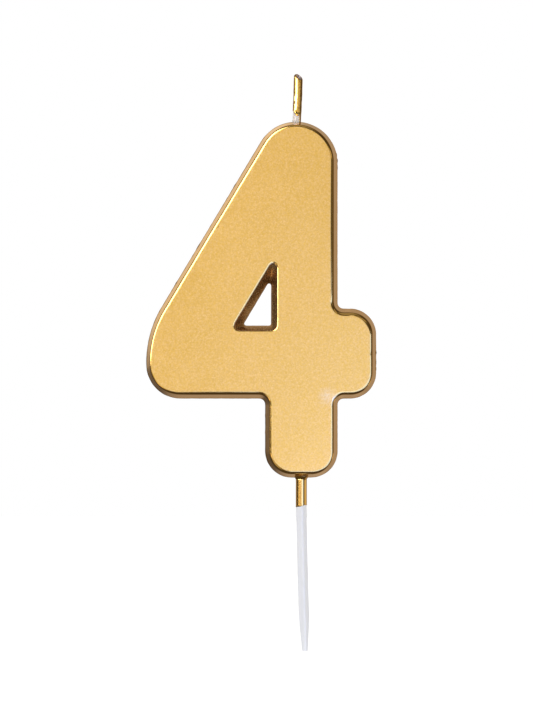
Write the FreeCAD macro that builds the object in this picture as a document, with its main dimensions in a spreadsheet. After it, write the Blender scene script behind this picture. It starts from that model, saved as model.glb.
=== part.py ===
import FreeCAD, Part
import math
import os
import re
import Sketcher

# A moulded wax birthday candle in the shape of the figure 4, with a metallic
# lacquer film, a twisted cotton wick and a plastic pick that goes into a cake.
#
# Frame: +X to the figure's right as seen from the front, the front face looks
# along -Y, +Z up. The origin is where the pick's axis meets the figure's
# underside, which is as far as the candle can be pushed into a cake.
# The mould parts on the plane Y = 0, and both halves draft away from it.

# Driving dimensions in millimetres and degrees: alias, value, meaning.
DIMENSIONS = [
    ("digit_height", 70, "underside to the top of the figure"),
    ("thickness", 9, "front face to back face"),
    ("stem_half", 7.1, "half the width of the upright stroke"),
    ("bar_right", 14.7, "right end of the crossbar"),
    ("bar_bottom", 15.55, "underside of the crossbar"),
    ("bar_top", 33.2, "top of the crossbar's right end"),
    ("foot_left", 30.5, "left end of the crossbar, measured to the left"),
    ("slope", 31, "angle of the sloping stroke from the vertical"),
    ("crown_round", 8.1, "radius of the crown"),
    ("bar_round", 5.1, "radius of the crossbar's right corners"),
    ("stem_round", 5.2, "radius of the stem's bottom corners"),
    ("foot_round", 6.7, "radius of the bottom left corner"),
    ("hip_round", 21, "radius where the sloping stroke turns into the foot"),
    ("inner_round", 1.2, "radius of the inside corners"),
    ("draft_inset", 0.9, "how far the draft brings a face inside the parting line"),
    ("edge_round", 0.65, "rounding between face and wall"),
    ("hole_right", 6, "right side of the opening at the parting line, to the left"),
    ("hole_bottom", 29.9, "bottom of the opening at the parting line"),
    ("hole_foot", 10.9, "centre of its bottom left rounding, to the left"),
    ("hole_round", 0.4, "corner radius of the opening at the parting line"),
    ("mouth_right", 4.65, "the same four sizes of the opening at the faces"),
    ("mouth_bottom", 28.85, ""),
    ("mouth_foot", 12.4, ""),
    ("mouth_round", 1, ""),
    ("skin", 0.12, "lacquer on the figure, made thicker than the real film"),
    ("film", 0.06, "lacquer on the wick and on the pick"),
    ("gap", 0.04, "running clearance of the pick in its socket"),
    ("bond", 0.01, "room left between two bonded round surfaces"),
    ("rim_radius", 1.5, "lacquer pooled in a rim round the socket's mouth"),
    ("rim_tip_radius", 1.26, ""),
    ("rim_height", 0.45, ""),
    ("wick_left", 0.95, "where the wick's axis leaves the crown, to the left"),
    ("wick_lean", 3.2, "lean of the wick to the right, in degrees"),
    ("wick_height", 9.05, "wick above the crown"),
    ("wick_depth", 50, "wick inside the wax"),
    ("core_radius", 0.62, "radius of the channel that the cotton fills"),
    ("coat_radius", 0.855, "radius of the wax coat on the wick above the crown"),
    ("strand_radius", 0.24, "radius of one of the twisted strands"),
    ("strand_offset", 0.31, "distance of a strand's middle from the wick's axis"),
    ("twist_pitch", 6, "length of one full turn of the strands"),
    ("cut_slant", 24, "slant of the cut at the wick's tip, in degrees"),
    ("bare_height", 1.9, "wick above the crown that the lacquer leaves white"),
    ("run_angle", 110, "width of the run of lacquer down the bare wick, in degrees"),
    ("run_start", 72, "where that run begins, in degrees from +X towards the front"),
    ("pick_side", 1.65, "side of the pick's square section"),
    ("pick_edge", 0.22, "rounding of the pick's long edges"),
    ("shank_top", 15.4, "end of the pick inside the figure"),
    ("shank_lead", 0.4, "tapered lead-in at that end"),
    ("socket_depth", 16, "depth of the pick's socket"),
    ("gilt_length", 5.8, "end of the lacquer on the pick, below the figure"),
    ("point_start", 28.5, "start of the pick's point, below the figure"),
    ("pick_length", 34.4, "tip of the pick, below the figure"),
    ("point_side", 0.84, "side of the square section at the tip"),
    ("nose", 0.3, "bevel round the tip"),
    ("lean_at_point", 0.49, "sideways bend of the pick where its point starts"),
    ("lean_at_tip", 0.72, "sideways bend of the pick at its tip"),
    ("channel_end", 0.5, "wick's channel below the ends of its strands"),
    ("overshoot", 2, "how far a cutting form runs past what it cuts"),
    ("cutter_size", 5, "radius and height of the form that cuts the wick's tip"),
]
doc = FreeCAD.newDocument("number_candle")


def make_sheet():
    """The spreadsheet of driving dimensions, with an alias for each."""
    sheet = doc.addObject("Spreadsheet::Sheet", "dims")
    for row, (alias, value, meaning) in enumerate(DIMENSIONS, start=1):
        sheet.set(f"A{row}", alias)
        sheet.set(f"B{row}", str(value))
        sheet.set(f"C{row}", meaning)
        sheet.setAlias(f"B{row}", alias)
    doc.recompute()
    return sheet


dims = make_sheet()
ALIASES = {alias for alias, _, _ in DIMENSIONS}
STRANDS = 3


def size(expression):
    """The value of an expression over the sheet's aliases, as a plain number."""
    return float(dims.evalExpression(expression))


def bind(thing, prop, expression, unit=""):
    """Bind a property, or a sketch's constraint, to an expression over the sheet."""
    linked = re.sub(
        r"[a-z_]+", lambda word: ("dims." if word[0] in ALIASES else "") + word[0], expression
    )
    thing.setExpression(prop, f"({linked}) * 1 {unit}" if unit else linked)


# ---------------------------------------------------------------- sketches


def origin_feature(body, role):
    return next(item for item in body.Origin.OriginFeatures if item.Role == role)


def new_sketch(body, name, role, offset):
    """An empty sketch on one of the body's own planes, moved along its normal."""
    sketch = body.newObject("Sketcher::SketchObject", name)
    sketch.AttachmentSupport = [(origin_feature(body, role), "")]
    sketch.MapMode = "FlatFace"
    bind(sketch, "AttachmentOffset.Base.z", offset)
    return sketch


def turned(degrees):
    """An offset that turns a sketch in its own plane."""
    return FreeCAD.Placement(
        FreeCAD.Vector(), FreeCAD.Rotation(FreeCAD.Vector(0, 0, 1), degrees)
    )


def dimension(sketch, kind, where, expression):
    """A dimension constraint bound to the sheet."""
    is_angle = kind == "Angle"
    value = math.radians(size(expression)) if is_angle else size(expression)
    index = sketch.addConstraint(Sketcher.Constraint(kind, *where, value))
    bind(sketch, f"Constraints[{index}]", expression, "deg" if is_angle else "mm")


def upright(expression, way):
    """A side along the sketch's second axis: a point, a direction and its constraint."""
    return ((size(expression), 0), (0, way), "x", expression)


def level(expression, way):
    """A side along the sketch's first axis."""
    return ((0, size(expression)), (way, 0), "y", expression)


def sloping(centre, radius, angle):
    """A side that runs down to the left, tangent to a circle above it on its right."""
    lean = math.radians(size(angle))
    point = (centre[0] - radius * math.cos(lean), centre[1] + radius * math.sin(lean))
    return (point, (-math.sin(lean), -math.cos(lean)), "angle", f"-90 - {angle}")


def corner_of(side, next_side):
    """Where two sides cross."""
    (ax, ay), (adx, ady) = side[:2]
    (bx, by), (bdx, bdy) = next_side[:2]
    along = ((bx - ax) * bdy - (by - ay) * bdx) / (adx * bdy - ady * bdx)
    return (ax + along * adx, ay + along * ady)


def corner_arc(side, next_side, radius):
    """Start, centre, end and sense of the arc that rounds the corner after a side."""
    (inx, iny), (outx, outy) = side[1], next_side[1]
    cornerx, cornery = corner_of(side, next_side)
    turn = math.atan2(inx * outy - iny * outx, inx * outx + iny * outy)
    back = radius * math.tan(abs(turn) / 2)
    sense = math.copysign(1, turn)
    start = (cornerx - back * inx, cornery - back * iny)
    centre = (start[0] - sense * radius * iny, start[1] + sense * radius * inx)
    end = (cornerx + back * outx, cornery + back * outy)
    return start, centre, end, sense


def rounded_loop(sketch, sides, radii):
    """A closed loop of lines that meet in tangent arcs. Each radius belongs to the
    corner at the end of the side with the same number. Returns the arcs' numbers."""
    first = sketch.GeometryCount
    count = len(sides)
    arcs = [
        corner_arc(sides[i], sides[(i + 1) % count], size(radii[i])) for i in range(count)
    ]
    for i, (start, centre, end, sense) in enumerate(arcs):
        line_start = arcs[i - 1][2]
        line = Part.LineSegment(FreeCAD.Vector(*line_start, 0), FreeCAD.Vector(*start, 0))
        sketch.addGeometry(line)
        ends = [start, end] if sense > 0 else [end, start]
        angles = [math.atan2(y - centre[1], x - centre[0]) for x, y in ends]
        circle = Part.Circle(
            FreeCAD.Vector(*centre, 0), FreeCAD.Vector(0, 0, 1), size(radii[i])
        )
        sketch.addGeometry(Part.ArcOfCircle(circle, *angles))
    for i, (side, radius, arc) in enumerate(zip(sides, radii, arcs)):
        this_line = first + 2 * i
        this_arc = this_line + 1
        next_line = first + 2 * ((i + 1) % count)
        arc_in, arc_out = (1, 2) if arc[3] > 0 else (2, 1)
        sketch.addConstraint(Sketcher.Constraint("Tangent", this_line, 2, this_arc, arc_in))
        sketch.addConstraint(Sketcher.Constraint("Tangent", this_arc, arc_out, next_line, 1))
        kind, expression = side[2:]
        if kind == "x":
            sketch.addConstraint(Sketcher.Constraint("Vertical", this_line))
            dimension(sketch, "DistanceX", (-1, 1, this_line, 1), expression)
        elif kind == "y":
            sketch.addConstraint(Sketcher.Constraint("Horizontal", this_line))
            dimension(sketch, "DistanceY", (-1, 1, this_line, 1), expression)
        else:
            dimension(sketch, "Angle", (this_line,), expression)
        dimension(sketch, "Radius", (this_arc,), radius)
    return [first + 2 * i + 1 for i in range(count)]


# ---------------------------------------------------------------- the figure

# Each level of the figure: its name, its place across the thickness, and how far
# the draft has brought the outline inwards there.
LEVELS = [("front", 1, "draft_inset"), ("middle", 0, "0"), ("back", -1, "draft_inset")]


def outline_sketch(body, name, place, draft, inset):
    """The figure's outline at one level, anticlockwise as seen from the front."""
    sketch = new_sketch(body, name, "XZ_Plane", f"{place} * (thickness / 2 - {inset})")
    inside = f"({inset} + {draft})"
    crown = (size("stem_half - crown_round"), size("digit_height - crown_round"))
    sides = [
        level(inside, 1),
        upright(f"stem_half - {inside}", 1),
        level(f"bar_bottom + {inside}", 1),
        upright(f"bar_right - {inside}", 1),
        level(f"bar_top - {inside}", -1),
        upright(f"stem_half - {inside}", 1),
        sloping(crown, size(f"crown_round - {inside}"), "slope"),
        upright(f"{inside} - foot_left", -1),
        level(f"bar_bottom + {inside}", 1),
        upright(f"{inside} - stem_half", -1),
    ]
    outer = ["stem_round", "bar_round", "crown_round", "hip_round", "foot_round"]
    outer_radii = {word: f"{word} - {inside}" for word in outer}
    inner_radius = f"inner_round + {inside}"
    radii = [
        outer_radii["stem_round"],
        inner_radius,
        outer_radii["bar_round"],
        outer_radii["bar_round"],
        inner_radius,
        outer_radii["crown_round"],
        outer_radii["hip_round"],
        outer_radii["foot_round"],
        inner_radius,
        outer_radii["stem_round"],
    ]
    arcs = rounded_loop(sketch, sides, radii)
    crown_arc = arcs[radii.index(outer_radii["crown_round"])]
    dimension(sketch, "DistanceY", (-1, 1, crown_arc, 3), "digit_height - crown_round")
    return sketch


def opening_sketch(body, name, place, inset):
    """The three-cornered opening at one level."""
    sketch = new_sketch(body, name, "XZ_Plane", f"{place} * (thickness / 2 - {inset})")
    part = "mouth" if place else "hole"
    radius = f"{part}_round + {inset}"
    foot = (size(f"-{part}_foot"), size(f"{part}_bottom + {part}_round"))
    sides = [
        level(f"{part}_bottom - {inset}", 1),
        upright(f"{inset} - {part}_right", 1),
        sloping(foot, size(radius), "slope"),
    ]
    arcs = rounded_loop(sketch, sides, [radius] * 3)
    dimension(sketch, "DistanceX", (-1, 1, arcs[-1], 3), f"-{part}_foot")
    return sketch


def ruled_loft(body, kind, name, sketches):
    loft = body.newObject(f"PartDesign::{kind}Loft", name)
    loft.Profile = sketches[0]
    loft.Sections = sketches[1:]
    loft.Ruled = True
    doc.recompute()
    return loft


def edges_at_depth(shape, depth):
    """Names of the edges that lie in the planes Y = depth and Y = -depth."""
    return [
        f"Edge{number}"
        for number, edge in enumerate(shape.Edges, start=1)
        if all(abs(abs(vertex.Point.y) - depth) < 1e-4 for vertex in edge.Vertexes)
    ]


def figure_form(name, inset):
    """The solid figure: a ruled form from face to parting line to face, pierced by
    its opening and rounded along both faces. The inset thins it on every side."""
    body = doc.addObject("PartDesign::Body", name)
    outlines = [
        outline_sketch(body, f"{name}_outline_{word}", place, draft, inset)
        for word, place, draft in LEVELS
    ]
    ruled_loft(body, "Additive", f"{name}_solid", outlines)
    openings = [
        opening_sketch(body, f"{name}_opening_{word}", place, inset)
        for word, place, _ in LEVELS
    ]
    pierced = ruled_loft(body, "Subtractive", f"{name}_pierced", openings)
    rounded = body.newObject("PartDesign::Fillet", f"{name}_rounded")
    rounded.Base = (pierced, edges_at_depth(pierced.Shape, size(f"thickness / 2 - {inset}")))
    bind(rounded, "Radius", f"edge_round - {inset}", "mm")
    doc.recompute()
    return body


# ------------------------------------------------- cylinders and booleans


def on_wick(thing, height, slant="0", spin="0"):
    """Stand a thing on the wick's leaning axis, a height above the crown, tipped by
    a slant beyond the wick's lean and spun about its own axis."""
    lean = FreeCAD.Rotation(FreeCAD.Vector(0, 1, 0), size(f"wick_lean + {slant}"))
    thing.Placement = FreeCAD.Placement(
        FreeCAD.Vector(), lean * FreeCAD.Rotation(FreeCAD.Vector(0, 0, 1), size(spin))
    )
    bind(thing, "Placement.Base.x", f"({height}) * sin(wick_lean) - wick_left")
    bind(thing, "Placement.Base.z", f"digit_height + ({height}) * cos(wick_lean)")


def wick_cylinder(name, radius, bottom, top, **tilt):
    """A cylinder on the wick's axis between two heights above the crown."""
    cylinder = doc.addObject("Part::Cylinder", name)
    bind(cylinder, "Radius", radius, "mm")
    bind(cylinder, "Height", f"{top} - ({bottom})", "mm")
    on_wick(cylinder, bottom, **tilt)
    return cylinder


def fused(name, *pieces):
    fuse = doc.addObject("Part::MultiFuse", name)
    fuse.Shapes = list(pieces)
    return fuse


def cut(label, base, *tools):
    """The base less every tool. The last cut carries the label."""
    result = base
    for number, tool in enumerate(tools, start=1):
        step = doc.addObject("Part::Cut", f"{label}_{number}")
        step.Base = result
        step.Tool = tool
        result = step
    result.Label = label
    return result


# ------------------------------------------------------------------ the pick


def square_sketch(body, name, height, side, radius, sideways="0"):
    """A square with rounded corners, set on edge, with one corner to the front."""
    sketch = new_sketch(body, name, "XY_Plane", height)
    sketch.AttachmentOffset = turned(45)
    bind(sketch, "AttachmentOffset.Base.z", height)
    bind(sketch, "AttachmentOffset.Base.x", sideways)
    add_square(sketch, side, radius)
    return sketch


def add_square(sketch, side, radius):
    half = f"({side}) / 2"
    sides = [level(f"-{half}", 1), upright(half, 1), level(half, -1), upright(f"-{half}", -1)]
    rounded_loop(sketch, sides, [radius] * 4)


def make_pick():
    """The plastic pick: a straight shank in the figure, a slightly bent blade and
    a blunt point. Each section: name, height, side, corner radius, sideways bend."""
    sections = [
        ("end", "shank_top", "pick_side - 2 * shank_lead", "pick_edge", "0"),
        ("shank", "shank_top - shank_lead", "pick_side", "pick_edge", "0"),
        ("blade", "-gilt_length", "pick_side", "pick_edge", "0"),
        ("point", "-point_start", "pick_side", "pick_edge", "lean_at_point"),
        ("nose", "nose - pick_length", "point_side", "pick_edge", "lean_at_tip"),
        ("tip", "-pick_length", "point_side - nose", "pick_edge - nose / 2", "lean_at_tip"),
    ]
    body = doc.addObject("PartDesign::Body", "pick")
    sketches = [
        square_sketch(body, f"pick_{word}", height, side, radius, sideways)
        for word, height, side, radius, sideways in sections
    ]
    ruled_loft(body, "Additive", "pick_blank", sketches)
    return body


def square_prism(name, bottom, top, *loops):
    """A pad between two heights over one or two rounded squares."""
    body = doc.addObject("PartDesign::Body", name)
    sketch = square_sketch(body, f"{name}_section", bottom, *loops[0])
    for side, radius in loops[1:]:
        add_square(sketch, side, radius)
    pad = body.newObject("PartDesign::Pad", f"{name}_pad")
    pad.Profile = sketch
    bind(pad, "Length", f"{top} - ({bottom})", "mm")
    doc.recompute()
    return body


# ------------------------------------------------------------------ the wick


def make_strand(number, tip_cutter):
    """One cotton strand, wound round the wick's axis from deep in the wax to the tip."""
    body = doc.addObject("PartDesign::Body", f"strand_form_{number}")
    section = new_sketch(body, f"strand_section_{number}", "XY_Plane", "0")
    section.AttachmentOffset = turned(number * 360 / STRANDS)
    middle = FreeCAD.Vector(size("strand_offset"), 0, 0)
    up = FreeCAD.Vector(0, 0, 1)
    section.addGeometry(Part.Circle(middle, up, size("strand_radius")))
    section.addConstraint(Sketcher.Constraint("PointOnObject", 0, 3, -1))
    dimension(section, "DistanceX", (-1, 1, 0, 3), "strand_offset")
    dimension(section, "Radius", (0,), "strand_radius")
    winding = body.newObject("PartDesign::AdditiveHelix", f"strand_winding_{number}")
    winding.Profile = section
    winding.ReferenceAxis = (origin_feature(body, "Z_Axis"), [""])
    winding.Mode = "pitch-height-angle"
    bind(winding, "Pitch", "twist_pitch", "mm")
    bind(winding, "Height", "wick_depth + wick_height + twist_pitch / 4", "mm")
    on_wick(body, "-wick_depth")
    doc.recompute()
    return cut(f"wick_strand_{number}", body, tip_cutter)


def make_candle():
    """Every sub-part of the candle, in the order it is made in."""
    outer_form = figure_form("outer_form", "0")
    inner_form = figure_form("inner_form", "skin")

    # The forms that cut the wick's channel, the slanted tip and the pick's socket.
    beyond_tip = "wick_height + overshoot"
    core = wick_cylinder("core", "core_radius", "-wick_depth - channel_end", beyond_tip)
    coat_hole = wick_cylinder("coat_hole", "coat_radius + bond", "-overshoot", "overshoot")
    tip_cutter = wick_cylinder(
        "tip_cutter",
        "cutter_size",
        "wick_height",
        "wick_height + cutter_size",
        slant="cut_slant",
    )
    socket = square_prism(
        "socket",
        "-rim_height - overshoot",
        "socket_depth",
        ("pick_side + 2 * gap", "pick_edge + gap"),
    )

    wax_digit = cut("wax_digit", inner_form, core, socket)

    rim = doc.addObject("Part::Cone", "rim")
    bind(rim, "Radius1", "rim_tip_radius", "mm")
    bind(rim, "Radius2", "rim_radius", "mm")
    bind(rim, "Height", "2 * rim_height", "mm")
    bind(rim, "Placement.Base.z", "-rim_height")
    coated_form = fused("coated_form", outer_form, rim)
    gold_skin = cut("gold_skin", coated_form, inner_form, coat_hole, socket)

    coat = wick_cylinder("coat", "coat_radius", "-overshoot", beyond_tip)
    wick_wax = cut("wick_wax", coat, inner_form, core, tip_cutter)

    # The lacquer on the wick: a sleeve, and a run of it down to the figure.
    sleeve = wick_cylinder("sleeve", "coat_radius + film", "bare_height", beyond_tip)
    run = wick_cylinder(
        "run",
        "coat_radius + film",
        "-overshoot",
        "bare_height + film",
        spin="-run_start",
    )
    bind(run, "Angle", "run_angle", "deg")
    lacquer = fused("lacquer", sleeve, run)
    inside = wick_cylinder("inside", "coat_radius + bond", "-2 * overshoot", beyond_tip)
    wick_gold = cut("wick_gold", lacquer, inside, outer_form, tip_cutter)

    strands = [make_strand(number + 1, tip_cutter) for number in range(STRANDS)]

    pick = make_pick()
    pick_gold = square_prism(
        "pick_gold",
        "-gilt_length",
        "-rim_height - gap",
        ("pick_side + 2 * film", "pick_edge + film"),
        ("pick_side + 2 * bond", "pick_edge + bond"),
    )
    doc.recompute()
    return [wax_digit, gold_skin, wick_wax, wick_gold, *strands, pick, pick_gold]


def check_document(sub_parts):
    """Stop if any object failed or a sub-part isn't one valid solid."""
    for thing in doc.Objects:
        if "Invalid" in thing.State or "Error" in thing.State:
            raise RuntimeError(f"{thing.Name} failed: {thing.State}")
    for part in sub_parts:
        shape = part.Shape
        if shape.isNull() or not shape.isValid() or len(shape.Solids) != 1:
            raise RuntimeError(f"{part.Label} isn't one valid solid")


sub_parts = make_candle()
check_document(sub_parts)
os.makedirs("parts", exist_ok=True)
for part in sub_parts:
    part.Shape.exportStep(f"parts/{part.Label}.step")
    box = part.Shape.BoundBox
    print(f"{part.Label}: {part.Shape.Volume:.2f} mm3, z {box.ZMin:.2f} to {box.ZMax:.2f}")
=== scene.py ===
from math import atan, atan2, copysign, cos, degrees, dist, hypot, pi, radians, sin, sqrt, tan

import bmesh
import bpy
from mathutils import Matrix, Vector, noise
from mathutils.geometry import delaunay_2d_cdt


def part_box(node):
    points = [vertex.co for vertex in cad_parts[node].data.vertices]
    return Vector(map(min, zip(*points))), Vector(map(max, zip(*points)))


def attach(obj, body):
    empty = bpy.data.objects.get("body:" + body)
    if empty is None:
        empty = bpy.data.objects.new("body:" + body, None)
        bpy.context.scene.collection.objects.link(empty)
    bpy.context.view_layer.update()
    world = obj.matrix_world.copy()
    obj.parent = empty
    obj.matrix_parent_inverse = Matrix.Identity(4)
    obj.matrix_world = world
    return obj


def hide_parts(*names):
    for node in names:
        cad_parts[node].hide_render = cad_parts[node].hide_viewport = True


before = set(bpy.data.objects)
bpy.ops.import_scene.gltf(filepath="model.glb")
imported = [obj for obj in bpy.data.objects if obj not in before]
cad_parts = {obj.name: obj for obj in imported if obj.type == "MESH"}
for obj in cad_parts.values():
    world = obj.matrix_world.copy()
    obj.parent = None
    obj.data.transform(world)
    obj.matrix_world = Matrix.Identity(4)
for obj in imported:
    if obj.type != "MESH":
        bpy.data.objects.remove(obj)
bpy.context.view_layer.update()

# Looks for a gold number candle: the lacquered wax figure, its wick and its pick.
# Shapes are worked out in millimetres and turned into metres as meshes are made.

MM = 0.001

CANDLE = "candle_body"
PICK = "pick_body"


def box_mm(node):
    """A CAD node's lowest and highest corners, in millimetres."""
    low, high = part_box(node)
    return [value / MM for value in low], [value / MM for value in high]


SKIN_LOW, SKIN_HIGH = box_mm("gold_skin")
PICK_LOW, PICK_HIGH = box_mm("pick")

# The figure at its parting line. Its thickness and its width come from the frame.
HALF_THICKNESS = SKIN_HIGH[1]
FOOT_LEFT = SKIN_LOW[0]
BAR_RIGHT = SKIN_HIGH[0]
CROWN = 70.0
STEM_HALF = 7.1
BAR_BOTTOM = 15.55
BAR_TOP = 33.2
# The sloping stroke's angle from upright.
SLOPE = radians(31)
# The outline's corner radii. The last is of the three inner corners.
CROWN_ROUND = 8.1
BAR_ROUND = 5.1
STEM_ROUND = 5.2
FOOT_ROUND = 6.7
HIP_ROUND = 21.0
INNER_ROUND = 1.2
# How far the walls lean inwards for each millimetre of depth.
DRAFT = 0.9 / HALF_THICKNESS
# The opening: right side, bottom, foot centre and corner radius, first at the
# parting line and then at a face. The top corner has a radius of its own there.
OPENING_MIDDLE = (-5.93, 29.87, -10.85, 0.42)
OPENING_FACE = (-4.76, 28.92, -12.25, 0.95)
APEX_ROUND = 0.76
# Above 1, the opening's walls lean more near the faces than at the parting line.
WALL_HOLLOW = 1.35
# The rounding of the opening's edges, and how much less of it the right side has.
OPENING_ROUND = 0.42
OPENING_RIGHT_LESS = 0.14
# The rounding of the outer edges, and how much more of it the edges have that look
# right, up and down.
EDGE_ROUND = 0.54
EDGE_MORE_RIGHT = 0.12
EDGE_MORE_UP = 0.06
EDGE_MORE_DOWN = 0.24
# The softest edge that keeps the wax inside the film.
SOFTEST_EDGE = 0.9
# Where the outer edges are softer or sharper than elsewhere: x, z, reach, change.
EDGE_WEAR = [
    (7.1, 48.0, 22.0, 0.14),
    (13.0, 31.5, 4.0, 0.3),
    (8.0, 33.2, 2.5, 0.35),
    (-28.5, 22.0, 15.0, -0.28),
    (-6.0, 2.0, 3.5, 0.16),
    (5.5, 1.5, 4.0, -0.1),
    (-17.0, 48.0, 24.0, -0.04),
]

# The figure's mesh: steps along an outline, depths of a wall's rings and the share of
# the rest where its last one lies, steps round an edge, insets of the rings on the
# face, and the face's grid with the room it leaves round its edges.
SPACING = 0.3
WALL_DEPTHS = (0.0, 0.1, 0.2, 0.36, 0.55, 1.3, 2.3)
LAST_RING = 0.7
FILLET_STEPS = 8
FACE_MARGINS = (0.12, 0.35)
FACE_GRID = 1.0
FACE_CLEAR = 0.45
# The film's thickness.
FILM = 0.1


def mix(low, high, share):
    return low + (high - low) * share


def between(first, second, share):
    """A point on the line between two."""
    return (mix(first[0], second[0], share), mix(first[1], second[1], share))


def smooth(value, low, high):
    """0 below low, 1 above high and an even curve between them."""
    share = min(1.0, max(0.0, (value - low) / (high - low)))
    return share * share * (3 - 2 * share)


def wobble(point, scale, seed=0.0):
    """Smooth noise from -1 to 1 at a point in millimetres."""
    return noise.noise(Vector(point) / scale + Vector((seed, seed * 1.7, seed * 0.6)))


def waves(point, parts, start=0.0):
    """Noises added to a start, each given as its height, length and seed."""
    for height, length, seed in parts:
        start += height * wobble(point, length, seed)
    return start


def hump(away, sharpness=2):
    """1 at a distance of 0 and 0 from a distance of 1, in a smooth hump."""
    return (1 - away * away) ** sharpness if away < 1 else 0.0


# ------------ outlines


def upright(x, way):
    """An upright side: a point on it and its direction."""
    return ((x, 0.0), (0.0, way))


def level(z, way):
    """A level side: a point on it and its direction."""
    return ((0.0, z), (way, 0.0))


def sloping(centre, radius):
    """A side down the sloping stroke, tangent to a circle on its right."""
    x = centre[0] - radius * cos(SLOPE)
    z = centre[1] + radius * sin(SLOPE)
    return ((x, z), (-sin(SLOPE), -cos(SLOPE)))


def crossing(side, next_side):
    """Where two sides meet."""
    (ax, az), (adx, adz) = side
    (bx, bz), (bdx, bdz) = next_side
    along = ((bx - ax) * bdz - (bz - az) * bdx) / (adx * bdz - adz * bdx)
    return (ax + along * adx, az + along * adz)


def rounded_outline(sides, counts=None):
    """Points round a closed outline of sides and the radii of their ends, and how many
    points each side and arc took. The same counts match two insets point for point."""
    arcs = []
    for i, (side, radius) in enumerate(sides):
        next_side = sides[(i + 1) % len(sides)][0]
        x, z = crossing(side, next_side)
        (inx, inz), (outx, outz) = side[1], next_side[1]
        turn = atan2(inx * outz - inz * outx, inx * outx + inz * outz)
        back = radius * tan(abs(turn) / 2)
        start = (x - back * inx, z - back * inz)
        end = (x + back * outx, z + back * outz)
        sense = copysign(1, turn)
        centre = (start[0] - sense * radius * inz, start[1] + sense * radius * inx)
        arcs.append((start, centre, end, turn, radius))
    points, used = [], []
    for i, (start, (x, z), _, turn, radius) in enumerate(arcs):
        begin = arcs[i - 1][2]
        if counts:
            line_count, arc_count = counts[i]
        else:
            line_count = max(1, round(dist(begin, start) / SPACING))
            arc_count = max(4, round(abs(turn) * radius / SPACING))
        used.append((line_count, arc_count))
        points += [between(begin, start, step / line_count) for step in range(line_count)]
        first = atan2(start[1] - z, start[0] - x)
        for step in range(arc_count):
            angle = first + turn * step / arc_count
            points.append((x + radius * cos(angle), z + radius * sin(angle)))
    return points, used


def figure_outline(inset, counts=None):
    """The figure's outline, anticlockwise from the front, brought inwards."""
    crown = (STEM_HALF - CROWN_ROUND, CROWN - CROWN_ROUND)
    sides = [
        (level(inset, 1), STEM_ROUND - inset),
        (upright(STEM_HALF - inset, 1), INNER_ROUND + inset),
        (level(BAR_BOTTOM + inset, 1), BAR_ROUND - inset),
        (upright(BAR_RIGHT - inset, 1), BAR_ROUND - inset),
        (level(BAR_TOP - inset, -1), INNER_ROUND + inset),
        (upright(STEM_HALF - inset, 1), CROWN_ROUND - inset),
        (sloping(crown, CROWN_ROUND - inset), HIP_ROUND - inset),
        (upright(FOOT_LEFT + inset, -1), FOOT_ROUND - inset),
        (level(BAR_BOTTOM + inset, 1), INNER_ROUND + inset),
        (upright(inset - STEM_HALF, -1), STEM_ROUND - inset),
    ]
    return rounded_outline(sides, counts)


def opening_outline(share, widen, counts=None):
    """The opening's outline between the parting line (0) and a face (1), widened."""
    right, bottom, foot, radius = (
        mix(middle, face, share) for middle, face in zip(OPENING_MIDDLE, OPENING_FACE)
    )
    apex = mix(radius, APEX_ROUND, share) + widen
    wide = radius + widen
    slope = sloping((foot, bottom + radius), wide)
    sides = [(level(bottom - widen, 1), wide), (upright(right + widen, 1), apex), (slope, wide)]
    return rounded_outline(sides, counts)


def edge_profile(wall_slope, rounding):
    """Inset and depth from the parting line up the drafted wall, round the edge and
    a little way onto the face."""
    lean = atan(wall_slope)
    depth = HALF_THICKNESS - rounding
    inset = wall_slope * depth + rounding / cos(lean)
    wall_top = depth + rounding * sin(lean)
    depths = [*WALL_DEPTHS, mix(WALL_DEPTHS[-1], wall_top, LAST_RING)]
    profile = [(wall_slope * at, at) for at in depths]
    for step in range(FILLET_STEPS + 1):
        angle = mix(lean, pi / 2, step / FILLET_STEPS)
        profile.append((inset - rounding * cos(angle), depth + rounding * sin(angle)))
    return profile + [(inset + further, HALF_THICKNESS) for further in FACE_MARGINS]


def inside(point, polygon):
    """Whether a point lies in a polygon."""
    x, z = point
    odd = False
    for (ax, az), (bx, bz) in zip(polygon, polygon[1:] + polygon[:1]):
        if (az > z) != (bz > z) and x < (bx - ax) * (z - az) / (bz - az) + ax:
            odd = not odd
    return odd


# ------------ mesh helpers


def new_object(name, data):
    """An object in the scene."""
    thing = bpy.data.objects.new(name, data)
    bpy.context.scene.collection.objects.link(thing)
    return thing


def new_piece(name, shape, body, replaced=(), materials=()):
    """A smooth piece from vertices in millimetres and faces, riding on a body."""
    vertices, faces = shape
    mesh = bpy.data.meshes.new(name)
    mesh.from_pydata([Vector(vertex) * MM for vertex in vertices], [], faces)
    mesh.validate()
    form = bmesh.new()
    form.from_mesh(mesh)
    bmesh.ops.recalc_face_normals(form, faces=form.faces)
    form.to_mesh(mesh)
    form.free()
    mesh.shade_smooth()
    for material in materials:
        mesh.materials.append(material)
    piece = new_object(name, mesh)
    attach(piece, body)
    if replaced:
        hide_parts(*replaced)
    return piece


def tube(rings, first, closed=False, flip=False):
    """Quads over a stack of equal rings, numbered from a first vertex."""
    count = len(rings[0])
    faces = []
    for i in range(len(rings) if closed else len(rings) - 1):
        low, high = first + i * count, first + (i + 1) % len(rings) * count
        for j in range(count):
            k = (j + 1) % count
            quad = (low + j, low + k, high + k, high + j)
            faces.append(quad[::-1] if flip else quad)
    return faces


def stacked(rings, closed, first=0):
    """Vertices and faces of a stack of rings. A closed one joins its ends, and an
    open one has a cap at each."""
    count = len(rings[0])
    vertices = [vertex for ring in rings for vertex in ring]
    faces = tube(rings, first, closed=closed)
    if not closed:
        last = first + len(vertices) - count
        faces.append(tuple(range(first, first + count))[::-1])
        faces.append(tuple(range(last, last + count)))
    return vertices, faces


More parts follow.
